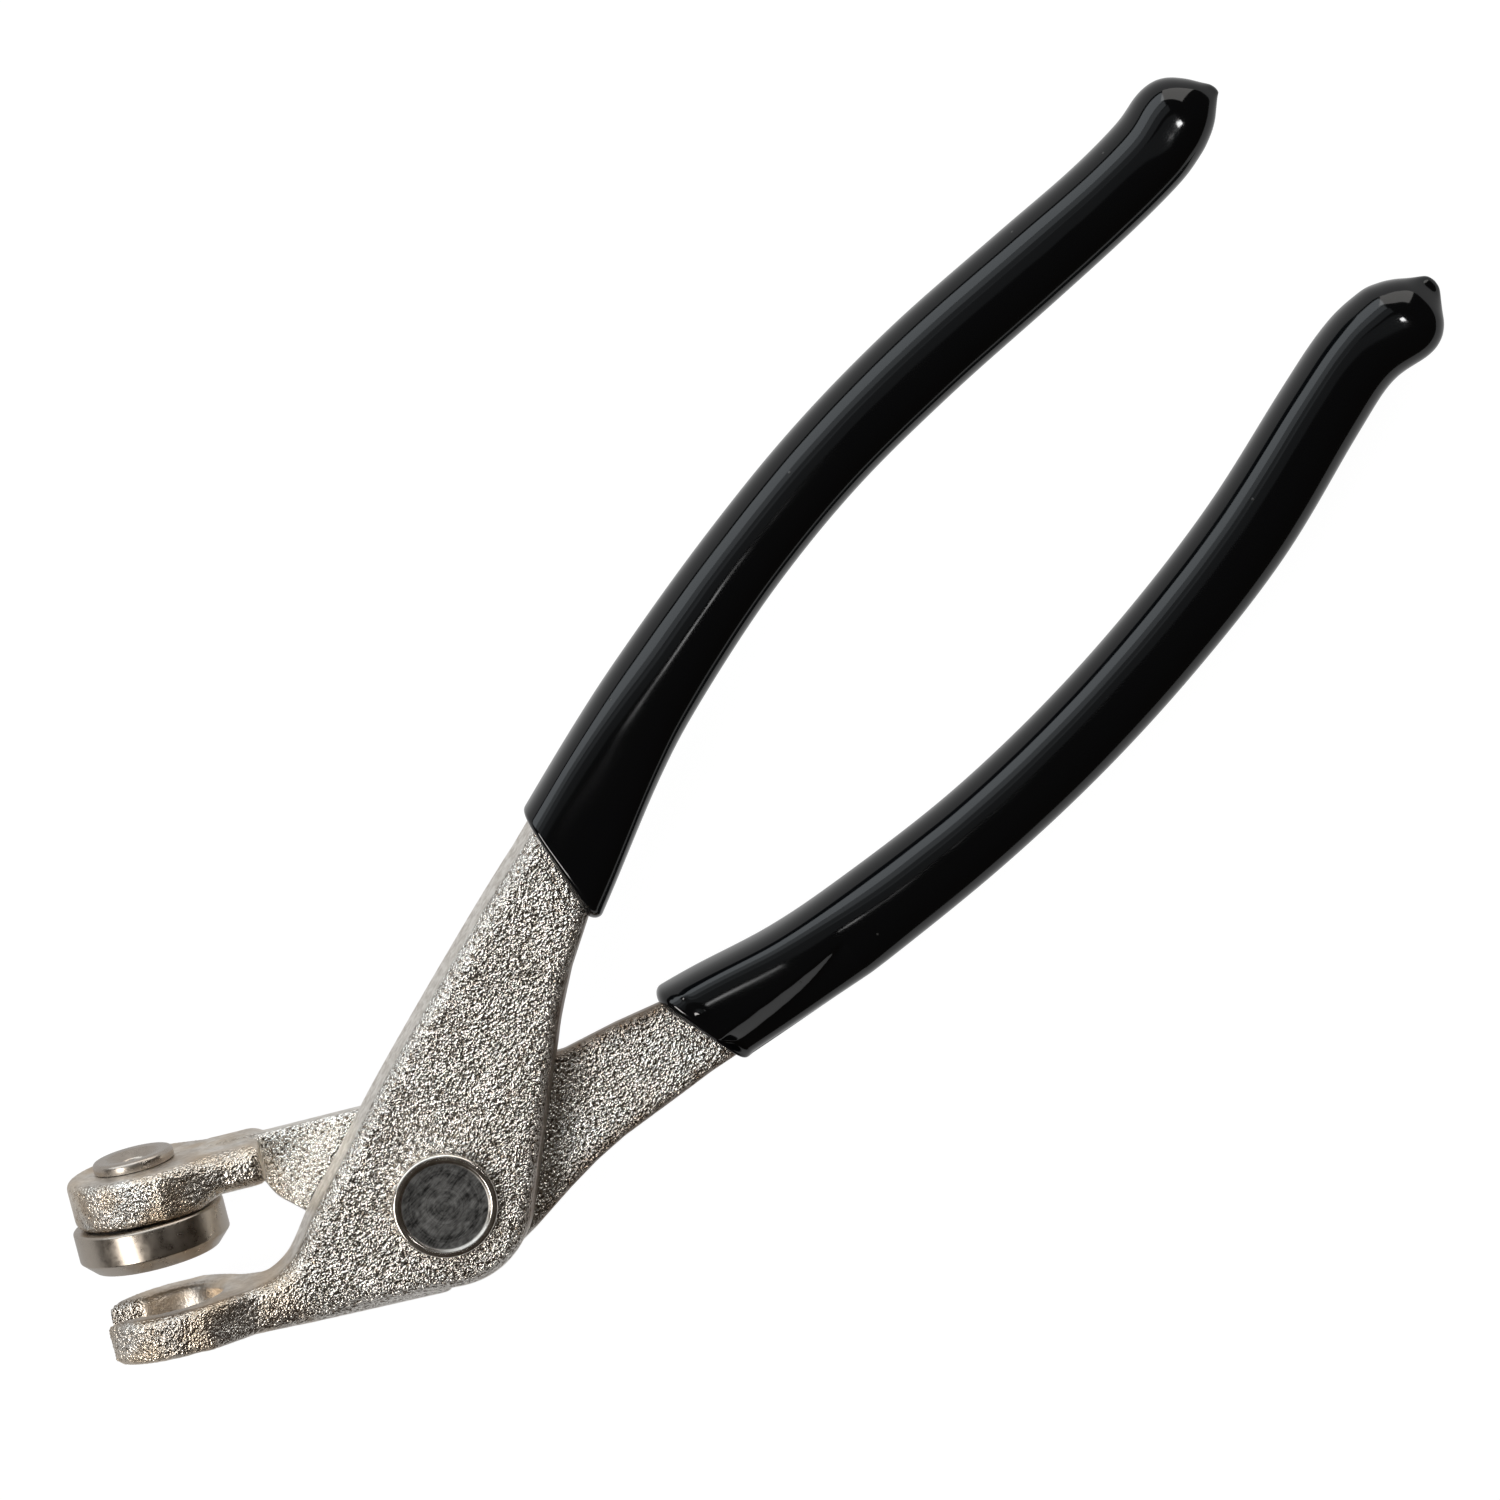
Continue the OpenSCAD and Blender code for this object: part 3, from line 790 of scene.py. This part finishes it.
pad_face = PAD_TOP - DISC_B                          # the pad's upper face, from the disc's lower one
rivet_profile = bevelled([(0, 0.32), (4.3, 0.3), (4.3, 1.4), (SHANK_R, 1.4), (SHANK_R, pad_face),
                          (4.6, pad_face), (4.6, pad_face + 1.2), (3.1, pad_face + 1.15),
                          (1.8, pad_face + 0.35), (1.5, pad_face - 0.6), (0, pad_face - 0.6)],
                         [0, 0.3, 0.1, 0, 0, 0.1, 0.45, 0.5, 0.4, 0.2, 0])
lathe("disc_rivet_turned", rivet_profile, DISC_CENTRE, UP_JAW, rivet_plating, "presser_side",
      "disc_rivet")

grip("fork_grip_vinyl", FORK_ROWS, FORK_END, WEB_LOW + 3, FORK_MOUTH_X, FORK_SLANT, vinyl,
     "fork_side", "fork_lever_grip")
grip("presser_grip_vinyl", PRESSER_ROWS, PRESSER_END, -WEB_LOW - 3, PRESSER_MOUTH_X, PRESSER_SLANT,
     vinyl, "presser_side", "presser_lever_grip", relief=web_under_vinyl)

# ---------------------------------------------------------------- camera
TILT, WAY, ROLL = math.radians(9.5), math.radians(61), math.radians(110)
VIEW_DISTANCE = 0.9
VIEW_WIDTH = 1500 / 9 / 1000                         # metres across the picture at that distance
toward = Vector((math.sin(TILT) * math.cos(WAY), math.sin(TILT) * math.sin(WAY), math.cos(TILT)))
lean = Vector((math.cos(TILT) * math.cos(WAY), math.cos(TILT) * math.sin(WAY), -math.sin(TILT)))
level = Vector((-math.sin(WAY), math.cos(WAY), 0))
right = lean * math.cos(ROLL) + level * math.cos(ROLL + math.pi / 2)
up = lean * math.sin(ROLL) + level * math.sin(ROLL + math.pi / 2)
target = Vector(to_row((60.1, 7.1, 0)))
camera = bpy.data.objects.new("camera", bpy.data.cameras.new("camera"))
camera.data.sensor_width = 36
camera.data.lens = 36 * VIEW_DISTANCE / VIEW_WIDTH
camera.data.clip_end = 10
camera.matrix_world = Matrix.Translation(target + toward * VIEW_DISTANCE) @ Matrix(
    (right, up, toward)).transposed().to_4x4()
bpy.context.scene.collection.objects.link(camera)
bpy.context.scene.camera = camera


# ---------------------------------------------------------------- floor and light
def floor_plane(name, glow, z):
    """A matt, self-lit plane under the object."""
    half = 3
    mesh = bpy.data.meshes.new(name)
    mesh.from_pydata([(-half, -half, 0), (half, -half, 0), (half, half, 0), (-half, half, 0)], [],
                     [(0, 1, 2, 3)])
    finish, _, shader = material(name)
    shader.inputs["Base Color"].default_value = (0.08, 0.08, 0.08, 1)
    shader.inputs["Roughness"].default_value = 0.9
    shader.inputs["Specular IOR Level"].default_value = 0.0
    shader.inputs["Emission Color"].default_value = (1, 1, 1, 1)
    shader.inputs["Emission Strength"].default_value = glow
    mesh.materials.append(finish)
    obj = bpy.data.objects.new(name, mesh)
    obj.location.z = z
    bpy.context.scene.collection.objects.link(obj)
    return obj


floor = floor_plane("floor", 0.98, -0.0003)
floor.visible_glossy = False                         # the metal and vinyl mirror a greyer floor instead
mirrored_floor = floor_plane("mirrored_floor", 0.48, -0.0004)
mirrored_floor.visible_camera = False

world = bpy.data.worlds.new("world")
world.use_nodes = True
background = world.node_tree.nodes["Background"]
background.inputs["Color"].default_value = (1.0, 0.78, 0.58, 1)
background.inputs["Strength"].default_value = 0.03
bpy.context.scene.world = world


def softbox(name, x, y, tilt, size, radiance, colour=(1, 1, 1)):
    """A light to the picture's side (x, y), at an angle of tilt from the camera's axis."""
    n = math.hypot(x, y)
    sideways = (right * (x / n) + up * (y / n)) * math.sin(math.radians(tilt))
    way = sideways + toward * math.cos(math.radians(tilt))
    light = bpy.data.lights.new(name, "AREA")
    light.shape, light.size, light.size_y = "RECTANGLE", size[0], size[1]
    light.energy = radiance * math.pi * size[0] * size[1]
    light.color = colour
    lamp = bpy.data.objects.new(name, light)
    lamp.location = target + way * VIEW_DISTANCE
    lamp.rotation_mode = "QUATERNION"
    lamp.rotation_quaternion = way.to_track_quat("Z", "Y")
    bpy.context.scene.collection.objects.link(lamp)


# One large panel to the handles' left, fading towards the camera, makes the band along each grip.
COOL = (0.88, 0.95, 1.0)
softbox("panel", -0.75, 0.66, 57, (1.2, 0.55), 2.0, COOL)
softbox("panel_edge", -0.75, 0.66, 31, (1.0, 0.27), 0.85, COOL)
softbox("panel_glow", -0.75, 0.66, 15, (1.0, 0.24), 0.27, COOL)
softbox("panel_haze", 0.75, -0.66, 1, (1.0, 0.28), 0.14, COOL)
softbox("line", 0.11, -0.99, 13.6, (0.03, 0.03), 6.0)                    # thin lines on the grips
softbox("glint", 0.96, 0.27, 30, (0.05, 0.08), 28.0)                     # the spots on their ends
softbox("far", 0.25, 0.97, 65, (0.8, 0.6), 1.9, (1.0, 0.98, 0.95))
softbox("near", -0.75, -0.66, 46, (0.42, 0.22), 12.0, (1.0, 0.97, 0.93))

bpy.context.scene.view_settings.view_transform = "Standard"
bpy.context.scene.view_settings.look = "None"
